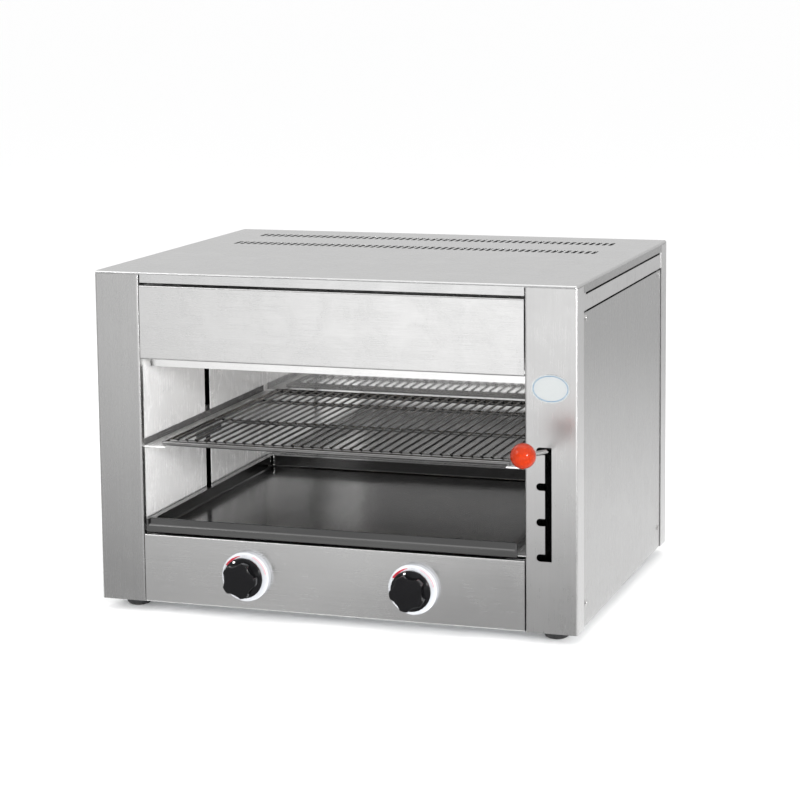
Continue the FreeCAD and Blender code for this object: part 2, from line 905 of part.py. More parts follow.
def gas_pipe(side):
    x = knob_x(side)
    start_y = valve_front + bonnet_length + valve_block[1] + valve_outlet_length + fit_gap
    end_y = venturi_end + fit_gap + injector_length + fit_gap
    points = [V(x, start_y, knob_height), V(x, pipe_depth, knob_height)]
    points += [V(x, pipe_depth, venturi_height), V(x, end_y, venturi_height)]
    return bent_tube(pipe_radius, pipe_bore, points, pipe_bend)


def injectors():
    def injector(side):
        start = V(knob_x(side), venturi_end + fit_gap, venturi_height)
        return rod(injector_radius, start, start + V(0, injector_length, 0))
    return mirrored_pair(injector)


def flame_sensors():
    def sensor(side):
        x = knob_x(side) + sensor_side
        low = knob_height + sensor_rise
        start = manifold_depth + manifold_radius
        tip = burner_back + fit_gap
        points = [V(x, start, low), V(x, sensor_depth, low)]
        points += [V(x, sensor_depth, sensor_height), V(x, tip, sensor_height)]
        return bent_rod(sensor_radius, points, sensor_bend)
    return mirrored_pair(sensor)


# Dials, spindles and knobs

def dial(side):
    centre = V(knob_x(side), 0, knob_height)
    front = centre - V(0, dial_thickness, 0)
    disc = rod(dial_radius, centre, front)
    disc = rounded_edges(disc, dial_edge, lambda edge: on_circle_at(edge, front))
    return disc.cut(rod(dial_hole, centre + V(0, overrun, 0), front - V(0, overrun, 0)))


def spindle(side):
    centre = V(knob_x(side), 0, knob_height)
    tip = centre - V(0, spindle_reach, 0)
    tail = centre + V(0, valve_front + spindle_depth - fit_gap, 0)
    flat = spindle_flat_block(centre, tip.y - overrun, tip.y + spindle_flat_length, spindle_flat)
    return rod(spindle_radius, tip, tail).cut(flat)


def spindle_flat_block(centre, y_start, y_end, depth):
    low = centre.z + spindle_radius - depth
    half = spindle_radius + overrun
    return block((centre.x - half, centre.x + half), (y_start, y_end), (low, low + half))


def knob(side):
    centre = V(knob_x(side), 0, knob_height)
    back = -(dial_thickness + knob_stand_off)
    rim = back - skirt_rim
    dome = rim - skirt_dome
    outline = [(0, back), (skirt_radius, back), (skirt_radius, rim), (grip_radius / 2, dome), (0, dome)]
    points = [V(a, b, 0) for a, b in outline]
    section = Part.Face(closed_wire(points, [0, skirt_edge, skirt_rim / 2, 0, 0]))
    skirt = section.revolve(V(0, 0, 0), V(0, 1, 0), 360)
    grip = knob_grip(rim, rim - grip_length, left_lobe_angle if side < 0 else right_lobe_angle)
    body = joined([skirt, grip])
    body.translate(centre)
    bore_end = -spindle_reach - bore_slack
    bore = rod(spindle_radius + bore_clearance, V(centre.x, back + overrun, centre.z),
               V(centre.x, bore_end, centre.z))
    flat_depth = spindle_flat - bore_clearance
    key_start = -spindle_reach + spindle_flat_length - knob_stand_off
    bore = bore.cut(spindle_flat_block(centre, bore_end - overrun, key_start, flat_depth))
    return body.cut(bore)


def knob_grip(y_start, y_end, lobe_angle):
    # A star of broad lobes, with a shallow flute halfway between each two
    grip = rod(grip_radius, V(0, y_start, 0), V(0, y_end, 0))
    flutes = []
    for index in range(lobe_count):
        angle = math.radians(lobe_angle) + 2 * math.pi * (index + 1 / 2) / lobe_count
        reach = grip_radius + flute_radius - flute_bite
        x = reach * math.cos(angle)
        z = reach * math.sin(angle)
        flutes.append(rod(flute_radius, V(x, y_start + overrun, z), V(x, y_end - overrun, z)))
    grip = grip.cut(flutes)
    grip = rounded_edges(grip, grip_corner, is_lengthwise)
    return rounded_edges(grip, grip_edge, lambda edge: near(edge.BoundBox.YMax, y_end))


def is_lengthwise(edge):
    box = edge.BoundBox
    return box.XLength < running_gap and box.ZLength < running_gap


# Lift mechanism

def bushes():
    def bush(side):
        inner = V(side_x(wall_half - bush_flange, side), pivot_depth, pivot_height)
        face = V(side_x(wall_outer + fit_gap, side), pivot_depth, pivot_height)
        flange_end = V(side_x(wall_outer + fit_gap + bush_flange, side), pivot_depth, pivot_height)
        end = V(side_x(wall_half - bush_flange + bush_length, side), pivot_depth, pivot_height)
        body = joined([rod(bush_radius, inner, end), rod(bush_flange_radius, face, flange_end)])
        reach = V(side * overrun, 0, 0)
        return body.cut(rod(shaft_radius + running_gap, inner - reach, end + reach))
    return mirrored_pair(bush)


def cross_shaft():
    reach = arm_side + arm_thickness + shaft_overhang
    start = V(side_x(reach, -1), pivot_depth, pivot_height)
    return rod(shaft_radius, start, V(side_x(reach, 1), pivot_depth, pivot_height))


def arm(side):
    xs = (side_x(arm_side, side), side_x(arm_side + arm_thickness, side))
    nose = slot_depth - arm_nose if side < 0 else lever_eye_depth - clevis_depth / 2
    zs = (pivot_height - arm_height / 2, pivot_height + arm_height / 2)
    pieces = [block(xs, (nose, pivot_depth + arm_tail), zs)]
    hub_start = V(side_x(arm_side - hub_length, side), pivot_depth, pivot_height)
    pieces.append(rod(hub_radius, hub_start, V(xs[0], pivot_depth, pivot_height)))
    if side > 0:
        pieces += clevis_ears(xs[0])
    cut_xs = (side_x(arm_side - hub_length - overrun, side), xs[1] + side * overrun)
    bore_start = V(cut_xs[0], pivot_depth, pivot_height)
    bore = rod(shaft_radius + running_gap, bore_start, V(cut_xs[1], pivot_depth, pivot_height))
    cuts = [bore, pin_slot((xs[0] - side * overrun, cut_xs[1]))]
    if side > 0:
        centre = V(lever_eye_side, lever_eye_depth, pivot_height)
        reach = V(0, 0, arm_height)
        cuts.append(rod(swing_pin_radius + running_gap, centre - reach, centre + reach))
    return tilted(joined(pieces).cut(cuts))


def pin_slot(xs):
    # The hole is long enough for the pin to keep its place in the upright wall slot
    half_width_of_slot = stud_radius + arm_slot_clearance
    far = carrier_reach / math.cos(math.radians(rest_tilt)) + arm_slot_play
    near_end = carrier_reach - arm_slot_play
    ends = [pivot_depth - far, pivot_depth - near_end]
    zs = (pivot_height - half_width_of_slot, pivot_height + half_width_of_slot)
    pieces = [block(xs, ends, zs)]
    for y in ends:
        pieces.append(rod(half_width_of_slot, V(xs[0], y, pivot_height), V(xs[1], y, pivot_height)))
    return joined(pieces)


def clevis_ears(arm_face):
    half = clevis_depth / 2
    ys = (lever_eye_depth - half, lever_eye_depth + half)
    gap = lever_eye_height / 2 + clevis_gap
    ears = []
    for sign in (-1, 1):
        zs = (pivot_height + sign * gap, pivot_height + sign * (gap + clevis_thickness))
        ears.append(block((lever_eye_side - half, arm_face), ys, zs))
    return ears


def swing_pin():
    centre = V(lever_eye_side, lever_eye_depth, pivot_height)
    up = V(0, 0, lever_eye_height / 2 + clevis_gap + clevis_thickness + running_gap)
    head = V(0, 0, swing_pin_head_height)
    pieces = [rod(swing_pin_radius, centre - up - head, centre + up + head)]
    pieces.append(rod(swing_pin_head, centre + up, centre + up + head))
    pieces.append(rod(swing_pin_head, centre - up - head, centre - up))
    return tilted(joined(pieces))


def lever_line(distance):
    # A point on the level lever, at a distance in front of its swing pin
    slope = (lever_eye_side - lever_front_side) / (lever_eye_depth + tilt_loss())
    return V(lever_eye_side - distance * slope, lever_eye_depth - distance, pivot_height)


def tilt_loss():
    # How much further the level lever reaches than the tilted one, at the front face
    return pivot_depth / math.cos(math.radians(rest_tilt)) - pivot_depth


def ball_centre():
    return lever_line(ball_distance - pivot_depth + lever_eye_depth)


def lever_rod():
    eye = V(lever_eye_side, lever_eye_depth, pivot_height)
    up = V(0, 0, lever_eye_height / 2)
    centre = ball_centre()
    toward = (centre - eye).normalize()
    end = centre - toward * (ball_radius - ball_socket + running_gap)
    body = joined([rod(lever_eye_radius, eye - up, eye + up), rod(lever_radius, eye, end)])
    return tilted(body.cut(rod(swing_pin_radius + running_gap, eye - up * 2, eye + up * 2)))


def ball_knob():
    eye = V(lever_eye_side, lever_eye_depth, pivot_height)
    centre = ball_centre()
    toward = (centre - eye).normalize()
    ball = Part.makeSphere(ball_radius, centre)
    back = centre - toward * (ball_radius - ball_flat)
    trim = rod(ball_radius, back, back - toward * overrun)
    socket_end = back + toward * (ball_socket - ball_flat)
    socket = rod(lever_radius + running_gap, back - toward * overrun, socket_end)
    return tilted(ball.cut([trim, socket]))


# Carriers, guides and rails

def carrier(side):
    xs = (side_x(block_inner, side), side_x(block_outer, side))
    ys = (slot_depth - block_depth / 2, slot_depth + block_depth / 2)
    zs = (stud_height - block_height / 2, stud_height + block_height / 2)
    pieces = [block(xs, ys, zs)]
    stud_tip = V(side_x(wall_half - stud_end, side), slot_depth, stud_height)
    pieces.append(rod(stud_radius, stud_tip, V(xs[0], slot_depth, stud_height)))
    head_start = arm_side + arm_thickness + swing_pin_head_height / 2
    head = V(side_x(head_start, side), slot_depth, stud_height)
    pin_end = V(side_x(head_start + pin_head, side), slot_depth, stud_height)
    pieces.append(rod(stud_radius, V(xs[1], slot_depth, stud_height), pin_end))
    pieces.append(rod(pin_head_radius, head, pin_end))
    low = V(side_x(guide_side, side), slot_depth, zs[0] - overrun)
    guide = rod(guide_radius + running_gap, low, V(low.x, low.y, zs[1] + overrun))
    return joined(pieces).cut(guide)


def guide_rod(side):
    x = side_x(guide_side, side)
    low = V(x, slot_depth, bracket_low - guide_overhang)
    return rod(guide_radius, low, V(x, slot_depth, bracket_high + bracket_thickness + guide_overhang))


def guide_brackets():
    brackets = []
    for side in (-1, 1):
        for height, leg in ((bracket_low, -bracket_leg), (bracket_high, bracket_leg)):
            brackets.append(guide_bracket(side, height, leg))
    return group(brackets)


def guide_bracket(side, height, leg):
    start = wall_outer + fit_gap
    xs = (side_x(start, side), side_x(guide_side + block_width / 2, side))
    ys = (slot_depth - block_depth / 2, slot_depth + block_depth / 2)
    shelf = block(xs, ys, (height, height + bracket_thickness))
    leg_xs = (xs[0], side_x(start + bracket_thickness, side))
    upright = block(leg_xs, ys, (height, height + leg))
    low = V(side_x(guide_side, side), slot_depth, height - overrun)
    hole = rod(guide_radius + running_gap, low, low + V(0, 0, bracket_thickness + 2 * overrun))
    return joined([shelf, upright]).cut(hole)


def rail(side):
    wall_face = side_x(wall_half - fit_gap, side)
    edge = side_x(wall_half - fit_gap - rail_shelf, side)
    bottom = rail_top - liner
    path = [(edge, bottom), (wall_face, bottom), (wall_face, bottom + rail_lip)]
    angle = folded("xz", path, side * liner, liner_bend, rail_front, rail_back)
    hanger_xs = (side_x(wall_half - fit_gap - liner, side), wall_face)
    hanger_ys = (slot_depth - hanger_length / 2, slot_depth + hanger_length / 2)
    hanger = block(hanger_xs, hanger_ys, (bottom - hanger_drop, bottom + liner_bend))
    start = V(hanger_xs[0] - side * overrun, slot_depth, stud_height)
    hole = rod(stud_radius + running_gap, start, V(wall_face + side * overrun, slot_depth, stud_height))
    return joined([angle, hanger]).cut(hole)


def rail_nuts():
    def nut(side):
        face = wall_half - fit_gap - liner
        start = V(side_x(face, side), slot_depth, stud_height)
        end = V(side_x(face - nut_length, side), slot_depth, stud_height)
        return tube(nut_radius, stud_radius + running_gap, start, end)
    return mirrored_pair(nut)


# Wire rack

def rack_frame():
    pieces = []
    for y in (rack_front, rack_back):
        start = V(side_x(rack_half_width, -1), y, rack_height)
        pieces.append(rod(frame_rod_radius, start, V(side_x(rack_half_width, 1), y, rack_height)))
    for side in (-1, 1):
        x = side_x(rack_half_width, side)
        pieces.append(rod(frame_rod_radius, V(x, rack_front, rack_height), V(x, rack_back, rack_height)))
    for share in cross_rod_shares:
        y = cross_rod_start + share * (cross_rod_end - cross_rod_start)
        start = V(side_x(rack_half_width, -1), y, rack_height)
        pieces.append(rod(cross_rod_radius, start, V(side_x(rack_half_width, 1), y, rack_height)))
    return joined(pieces)


def rack_wires():
    gaps = round(2 * rack_half_width / wire_pitch)
    step = 2 * rack_half_width / gaps
    start = cross_rod_start - wire_tip
    end = cross_rod_end + wire_tip
    wires = []
    for index in range(1, gaps):
        x = side_x(rack_half_width, -1) + index * step
        wires.append(rod(wire_radius, V(x, start, wire_height), V(x, end, wire_height)))
    return group(wires)


# Drip tray

def drip_tray():
    xs = (tray_left + tray_rim, tray_right - tray_rim)
    ys = (tray_front + tray_slope_run, tray_back - tray_rim)
    outer = rounded_tub(xs, ys, (tray_bottom, tray_top), tray_corner)
    inner_xs = (xs[0] + liner, xs[1] - liner)
    inner_ys = (ys[0] + liner, ys[1] - liner)
    inner_zs = (tray_bottom + liner, tray_top + overrun)
    inner = rounded_tub(inner_xs, inner_ys, inner_zs, tray_corner - liner)
    rim = block((tray_left, tray_right), (ys[0], tray_back), (tray_top - liner, tray_top))
    lip = folded("yz", tray_lip_path(), liner, liner_bend, tray_left, tray_right)
    pieces = [outer, rim, lip, tray_tab(tray_left, tray_left + tray_tab_width)]
    pieces.append(tray_tab(tray_right - tray_tab_width, tray_right))
    return joined(pieces).cut(inner)


def rounded_tub(xs, ys, zs, corner):
    # A tub with upright round corners and a smaller round along its bottom
    outline = [(xs[0], ys[0]), (xs[1], ys[0]), (xs[1], ys[1]), (xs[0], ys[1])]
    tub = prism("xy", outline, [corner] * len(outline), zs[0], zs[1])
    return rounded_edges(tub, corner / 2, lambda edge: near(edge.BoundBox.ZMax, zs[0]))


def tray_lip_path():
    crest_front = tray_front + tray_slope_run
    lip_top = tray_bottom + tray_lip_height
    path = [(tray_front + tray_hem, tray_bottom), (tray_front, tray_bottom), (tray_front, lip_top)]
    path += [(crest_front, tray_top), (crest_front + tray_crest, tray_top)]
    return path[::-1]


def tray_tab(start, end):
    # The small upright end of the lip, let into the sloping sheet by half its thickness
    half = liner / 2
    low = tray_bottom + tray_lip_height - liner
    crest_front = tray_front + tray_slope_run
    outline = [(tray_front, low), (tray_front + half, low), (crest_front + half, tray_top - half)]
    outline += [(crest_front, tray_top), (tray_front, tray_top)]
    return prism("yz", outline, [0] * len(outline), start, end)


def tray_runner(side):
    wall_face = side_x(wall_half - fit_gap, side)
    width = runner_width + runner_extra if side > 0 else runner_width
    top = tray_bottom - fit_gap
    path = [(wall_face, top - runner_drop), (wall_face, top), (wall_face - side * width, top)]
    return folded("xz", path, side * liner, liner_bend, runner_front, cavity_depth - fit_gap)


# Feet

def foot_places():
    half = half_width - foot_inset
    depths = (foot_inset, body_depth - foot_inset)
    return [V(x, y, 0) for y in depths for x in (-half, half)]


def foot(place):
    ground = place - V(0, 0, foot_stand)
    body = rod(foot_radius, ground, place)
    body = rounded_edges(body, foot_edge, lambda edge: on_circle_at(edge, ground))
    sink = foot_stud_sink + fit_gap
    return body.cut(rod(foot_stud_radius + running_gap, place - V(0, 0, sink), place))


def foot_studs():
    studs = []
    for place in foot_places():
        nut_low = place + V(0, 0, skin + running_gap)
        nut_high = nut_low + V(0, 0, foot_nut_height)
        stud = rod(foot_stud_radius, place - V(0, 0, foot_stud_sink), nut_high + V(0, 0, skin))
        studs.append(joined([stud, rod(foot_nut_radius, nut_low, nut_high)]))
    return group(studs)


# Every piece by the name of its node

def all_pieces():
    pieces = {
        "base_pan": base_pan(),
        "top_cover": top_cover(),
        "hood_panel": hood_panel(),
        "lower_panel": lower_panel(),
        "back_panel": back_panel(),
        "side_panel_screws": side_panel_screws(),
        "back_panel_screws": back_panel_screws(),
        "badge": badge(),
        "cavity_back": cavity_back(),
        "burner_box": burner_box(),
        "manifold": manifold(),
        "gas_inlet": gas_inlet(),
        "injectors": injectors(),
        "flame_sensors": flame_sensors(),
        "pivot_bushes": bushes(),
        "cross_shaft": cross_shaft(),
        "swing_pin": swing_pin(),
        "lever_rod": lever_rod(),
        "ball_knob": ball_knob(),
        "guide_brackets": guide_brackets(),
        "rail_nuts": rail_nuts(),
        "rack_frame": rack_frame(),
        "rack_wires": rack_wires(),
        "drip_tray": drip_tray(),
        "foot_studs": foot_studs(),
    }
    makers = {
        "side_frame": side_frame,
        "side_panel": side_panel,
        "cavity_wall": cavity_wall,
        "burner": burner,
        "burner_tile": burner_tile,
        "gas_valve": valve,
        "gas_pipe": gas_pipe,
        "dial": dial,
        "spindle": spindle,
        "knob": knob,
        "lift_arm": arm,
        "carrier": carrier,
        "guide_rod": guide_rod,
        "rack_rail": rail,
        "tray_runner": tray_runner,
    }
    for name, make in makers.items():
        pieces["left_" + name] = make(-1)
        pieces["right_" + name] = make(1)
    corners = ("front_left", "front_right", "back_left", "back_right")
    for corner, place in zip(corners, foot_places()):
        pieces["foot_" + corner] = foot(place)
    return pieces


os.makedirs("parts", exist_ok=True)
for node, shape in all_pieces().items():
    shape.translate(row_shift)
    shape.exportStep("parts/" + node + ".step")
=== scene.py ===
import math

import bmesh
import bpy
from mathutils import Matrix, Vector


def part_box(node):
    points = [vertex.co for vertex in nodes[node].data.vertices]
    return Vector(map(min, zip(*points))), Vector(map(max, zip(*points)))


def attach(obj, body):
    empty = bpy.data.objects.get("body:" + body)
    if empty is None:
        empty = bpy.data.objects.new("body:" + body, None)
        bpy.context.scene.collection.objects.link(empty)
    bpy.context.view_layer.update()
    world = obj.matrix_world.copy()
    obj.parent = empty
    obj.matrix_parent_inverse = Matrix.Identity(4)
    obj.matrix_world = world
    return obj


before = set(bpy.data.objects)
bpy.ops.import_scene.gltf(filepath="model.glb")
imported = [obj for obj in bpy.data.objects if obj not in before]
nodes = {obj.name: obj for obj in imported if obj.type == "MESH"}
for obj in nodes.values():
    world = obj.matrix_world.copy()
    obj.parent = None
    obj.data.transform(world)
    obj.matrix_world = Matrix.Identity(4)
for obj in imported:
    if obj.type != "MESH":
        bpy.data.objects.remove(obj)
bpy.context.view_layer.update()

MM = 0.001

# The photograph's camera: its angles in degrees, its focal length in pixels, the shift of its lens as a
# share of the picture's width, which keeps upright edges nearly parallel, and its place in mm
# from the middle of the cabinet's front face at the height of the cabinet's underside
PHOTO_WIDTH = 800
SENSOR_MM = 36.0
FOCAL_PX = 2347.0
LENS_SHIFT = -0.15
CAMERA_YAW = 18.60
CAMERA_PITCH = 7.43
CAMERA_ROLL = -0.59
CAMERA_PLACE = (984.7, -2650.2, 787.1)

# The cabinet's front face and underside, as the frame gives them
front_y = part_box("lower_panel")[0].y
under_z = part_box("lower_panel")[0].z


# Material building blocks

def new_material(name):
    material = bpy.data.materials.new(name)
    material.use_nodes = True
    tree = material.node_tree
    tree.nodes.clear()
    output = tree.nodes.new("ShaderNodeOutputMaterial")
    shader = tree.nodes.new("ShaderNodeBsdfPrincipled")
    tree.links.new(shader.outputs["BSDF"], output.inputs["Surface"])
    return material, tree, shader


def coordinates(tree, scale):
    place = tree.nodes.new("ShaderNodeTexCoord")
    mapping = tree.nodes.new("ShaderNodeMapping")
    mapping.inputs["Scale"].default_value = scale
    tree.links.new(place.outputs["Object"], mapping.inputs["Vector"])
    return mapping.outputs["Vector"]


def noise(tree, scale, detail=2.0, roughness=0.5, distortion=0.0):
    # Noise whose features are 1 / scale metres along each axis
    texture = tree.nodes.new("ShaderNodeTexNoise")
    texture.inputs["Scale"].default_value = 1.0
    texture.inputs["Detail"].default_value = detail
    texture.inputs["Roughness"].default_value = roughness
    texture.inputs["Distortion"].default_value = distortion
    tree.links.new(coordinates(tree, scale), texture.inputs["Vector"])
    return texture.outputs["Fac"]


def remap(tree, value, low, high, start=0.3, end=0.7):
    node = tree.nodes.new("ShaderNodeMapRange")
    node.inputs["From Min"].default_value = start
    node.inputs["From Max"].default_value = end
    node.inputs["To Min"].default_value = low
    node.inputs["To Max"].default_value = high
    tree.links.new(value, node.inputs["Value"])
    return node.outputs["Result"]


def combine(tree, operation, first, second):
    node = tree.nodes.new("ShaderNodeMath")
    node.operation = operation
    for socket, value in zip(node.inputs, (first, second)):
        if isinstance(value, (int, float)):
            socket.default_value = value
        else:
            tree.links.new(value, socket)
    return node.outputs["Value"]


def mix_colour(tree, factor, first, second):
    node = tree.nodes.new("ShaderNodeMix")
    node.data_type = "RGBA"
    tree.links.new(factor, node.inputs["Factor"])
    sockets = [socket for socket in node.inputs if socket.type == "RGBA"]
    for socket, value in zip(sockets, (first, second)):
        if isinstance(value, tuple):
            socket.default_value = value + (1.0,)
        else:
            tree.links.new(value, socket)
    return next(socket for socket in node.outputs if socket.type == "RGBA")


def bump(tree, shader, height, strength, distance):
    node = tree.nodes.new("ShaderNodeBump")
    node.inputs["Strength"].default_value = strength
    node.inputs["Distance"].default_value = distance
    tree.links.new(height, node.inputs["Height"])
    tree.links.new(node.outputs["Normal"], shader.inputs["Normal"])


def along(axis, length, width):
    # Texture scale of a streak that is long on one axis and narrow on the others, in metres
    scale = [1.0 / width] * 3
    scale["xyz".index(axis)] = 1.0 / length
    return tuple(scale)


def even(scale):
    # Texture scale that is the same on all axes
    return (scale, scale, scale)


def grey(value, warmth=0.0):
    return (value * (1 + warmth), value, value * (1 - warmth))


# Finishes. A streak is its length and width in metres, and a bump its strength and its depth in metres.
# A scale is the number of features in a metre. A pair of roughnesses is for the lowest and the highest
# value of its texture, and a range is the part of the texture's values over which a tone changes.

FINE_BUMP = 0.0001

HAIR = (0.05, 0.0005)
HAIR_ROUGHNESS = (-0.04, 0.05)
HAIR_SHARE = 0.2
STREAK = (0.35, 0.004)
STREAK_SHARE = 0.45
CLOUD_SCALE = 7.0
CLOUD_SHARE = 0.35
SMUDGE_SCALE = 28.0
SMUDGE_ROUGHNESS = (-0.03, 0.04)
# The soft edge of a steel's dark bands, and the tone of the painted shade in them
BAND_EDGE = 0.002
PAINTED_SHADE_TONE = 0.08

SPECK_SCALE = 900.0
SPECK_ROUGHNESS = (-0.03, 0.05)
SPECK_BUMP = (0.08, FINE_BUMP)
STAIN_SCALE = 35.0
STAIN_DARKER = 0.82
STAIN_LIGHTER = 1.1
STAIN_WARMTH = 0.02

WARM_METAL_ROUGHNESS = 0.3
WARM_METAL_BUMP = (0.1, FINE_BUMP)
TARNISH_SCALE = 60.0
TARNISH_ROUGHNESS = (0.1, -0.06)
TURNING_SCALE = 1200.0
TURNING_ROUGHNESS = (-0.02, 0.02)

SPANGLE_SCALE = 110.0
SPANGLE_ROUGHNESS = (0.34, 0.5)
SPANGLE_COLOURS = ((0.42, 0.44, 0.46), (0.60, 0.62, 0.63))
ZINC_GRAIN_SCALE = 700.0
ZINC_GRAIN_SHADE = (-0.2, 0.2)
ZINC_BUMP = (0.08, FINE_BUMP)

SKIN_SCALE = 1500.0
SKIN_BUMP = (0.05, FINE_BUMP)
FLOW_SCALE = 45.0
SCUFF_SCALE = 160.0
SCUFF_ROUGHNESS = (-0.03, 0.08)
SCUFF_RANGE = (0.35, 0.75)
COAT_ROUGHNESS = 0.05

PORE_SCALE = 1800.0
PORE_BUMP = (0.25, 0.0002)
DUST_SCALE = 55.0
DUST_RANGE = (0.45, 0.8)
DUST_ROUGHNESS = (0.45, 0.8)
RUBBER_COLOURS = ((0.012, 0.012, 0.013), (0.05, 0.048, 0.045))

SAND_SCALE = 800.0
SAND_ROUGHNESS = (0.45, 0.75)
SAND_BUMP = (0.4, 0.0004)
IRON_CLOUD_SCALE = 22.0
IRON_COLOURS = ((0.10, 0.09, 0.085), (0.24, 0.235, 0.23))
IRON_METALLIC = 0.9

HOLE_SCALE = 400.0
HOLE_RANGE = (0.22, 0.3)
HOLE_SHADE_COLOUR = (0.05, 0.04, 0.035)
HOLE_BUMP = (0.6, 0.0006)
TILE_CLOUD_SCALE = 25.0
TILE_COLOURS = ((0.62, 0.52, 0.42), (0.80, 0.74, 0.65))
TILE_ROUGHNESS = (0.75, 0.95)


def own_share(tree, axis):
    # How far along a piece's own length, depth or height a point lies, from 0 to 1
    place = tree.nodes.new("ShaderNodeTexCoord")
    split = tree.nodes.new("ShaderNodeSeparateXYZ")
    tree.links.new(place.outputs["Generated"], split.inputs["Vector"])
    return split.outputs[axis]


def within(tree, axis, low, high):
    share = own_share(tree, axis)
    above = remap(tree, share, 0.0, 1.0, low - BAND_EDGE, low)
    below = remap(tree, share, 1.0, 0.0, high, high + BAND_EDGE)
    return combine(tree, "MULTIPLY", above, below)


def brushed_steel(name, tone, axis, roughness=0.24, warmth=0.004, contrast=0.025, grain=0.04, metallic=1.0,
                  painted_end=None, painted_shade_bands=()):
    # An end painted a tone of its own, which stands in for light or shade on most pieces, is given as its
    # axis, the two shares between which it fades, and the tone.
    # Where all its dark bands meet, each given as an axis and two shares, the steel is painted dark as
    # painted shade.
    material, tree, shader = new_material(name)
    hair = noise(tree, along(axis, *HAIR), detail=3.0)
    streak = noise(tree, along(axis, *STREAK), detail=4.0, roughness=0.6)
    cloud = noise(tree, even(CLOUD_SCALE), detail=3.0)
    smudge = noise(tree, even(SMUDGE_SCALE), detail=4.0, roughness=0.65, distortion=0.6)
    shade = combine(tree, "MULTIPLY", remap(tree, streak, 0.0, 1.0), STREAK_SHARE)
    for texture, share in ((cloud, CLOUD_SHARE), (hair, HAIR_SHARE)):
        part = combine(tree, "MULTIPLY", remap(tree, texture, 0.0, 1.0), share)
        shade = combine(tree, "ADD", shade, part)
    colour = mix_colour(tree, shade, grey(tone - contrast, warmth), grey(tone + contrast, warmth))
    if painted_end:
        end_axis, start, stop, painted_tone = painted_end
        clear = remap(tree, own_share(tree, end_axis), 0.0, 1.0, start, stop)
        colour = mix_colour(tree, clear, grey(painted_tone), colour)
    # Painted shade where all the bands meet
    if painted_shade_bands:
        in_painted_shade = within(tree, *painted_shade_bands[0])
        for band in painted_shade_bands[1:]:
            in_painted_shade = combine(tree, "MULTIPLY", in_painted_shade, within(tree, *band))
        colour = mix_colour(tree, in_painted_shade, colour, grey(PAINTED_SHADE_TONE))
    tree.links.new(colour, shader.inputs["Base Color"])
    rough = combine(tree, "ADD", remap(tree, hair, *HAIR_ROUGHNESS), remap(tree, smudge, *SMUDGE_ROUGHNESS))
    tree.links.new(combine(tree, "ADD", rough, roughness), shader.inputs["Roughness"])
    shader.inputs["Metallic"].default_value = metallic
    bump(tree, shader, hair, grain, FINE_BUMP)
    return material


def plated_wire(name, tone, roughness):
    material, tree, shader = new_material(name)
    speck = noise(tree, even(SPECK_SCALE), detail=2.0)
    stain = noise(tree, even(STAIN_SCALE), detail=4.0, roughness=0.6)
    dark, light = grey(tone * STAIN_DARKER, STAIN_WARMTH), grey(tone * STAIN_LIGHTER)
    colour = mix_colour(tree, remap(tree, stain, 0.0, 1.0), dark, light)
    tree.links.new(colour, shader.inputs["Base Color"])
    rough = combine(tree, "ADD", remap(tree, speck, *SPECK_ROUGHNESS), roughness)
    tree.links.new(rough, shader.inputs["Roughness"])
    shader.inputs["Metallic"].default_value = 1.0
    bump(tree, shader, speck, *SPECK_BUMP)
    return material


def warm_metal(name, dark, light):
    material, tree, shader = new_material(name)
    tarnish = noise(tree, even(TARNISH_SCALE), detail=5.0, roughness=0.65)
    turning = noise(tree, even(TURNING_SCALE), detail=2.0)
    colour = mix_colour(tree, remap(tree, tarnish, 0.0, 1.0), dark, light)
    tree.links.new(colour, shader.inputs["Base Color"])
    rough = combine(tree, "ADD", remap(tree, tarnish, *TARNISH_ROUGHNESS), WARM_METAL_ROUGHNESS)
    rough = combine(tree, "ADD", rough, remap(tree, turning, *TURNING_ROUGHNESS))
    tree.links.new(rough, shader.inputs["Roughness"])
    shader.inputs["Metallic"].default_value = 1.0
    bump(tree, shader, turning, *WARM_METAL_BUMP)
    return material


def zinc_sheet(name):
    material, tree, shader = new_material(name)
    flakes = tree.nodes.new("ShaderNodeTexVoronoi")
    flakes.inputs["Scale"].default_value = 1.0
    tree.links.new(coordinates(tree, even(SPANGLE_SCALE)), flakes.inputs["Vector"])
    spangle = tree.nodes.new("ShaderNodeSeparateColor")
    tree.links.new(flakes.outputs["Color"], spangle.inputs["Color"])
    fine = noise(tree, even(ZINC_GRAIN_SCALE), detail=3.0)
    shade = combine(tree, "ADD", spangle.outputs["Red"], remap(tree, fine, *ZINC_GRAIN_SHADE))
    colour = mix_colour(tree, shade, *SPANGLE_COLOURS)
    tree.links.new(colour, shader.inputs["Base Color"])
    rough = remap(tree, spangle.outputs["Green"], *SPANGLE_ROUGHNESS, 0.0, 1.0)
    tree.links.new(rough, shader.inputs["Roughness"])
    shader.inputs["Metallic"].default_value = 1.0
    bump(tree, shader, fine, *ZINC_BUMP)
    return material


def moulded_plastic(name, colour, roughness, coat=0.0, variation=0.08, gloss=0.5):
    material, tree, shader = new_material(name)
    skin = noise(tree, even(SKIN_SCALE), detail=2.0)
    flow = noise(tree, even(FLOW_SCALE), detail=3.0)
    scuff = noise(tree, even(SCUFF_SCALE), detail=5.0, roughness=0.7)
    dark = tuple(channel * (1 - variation) for channel in colour)
    light = tuple(min(1.0, channel * (1 + variation)) for channel in colour)
    mixed = mix_colour(tree, remap(tree, flow, 0.0, 1.0), dark, light)
    tree.links.new(mixed, shader.inputs["Base Color"])
    rough = combine(tree, "ADD", remap(tree, scuff, *SCUFF_ROUGHNESS, *SCUFF_RANGE), roughness)
    tree.links.new(rough, shader.inputs["Roughness"])
    shader.inputs["Specular IOR Level"].default_value = gloss
    shader.inputs["Coat Weight"].default_value = coat
    shader.inputs["Coat Roughness"].default_value = COAT_ROUGHNESS
    bump(tree, shader, skin, *SKIN_BUMP)
    return material


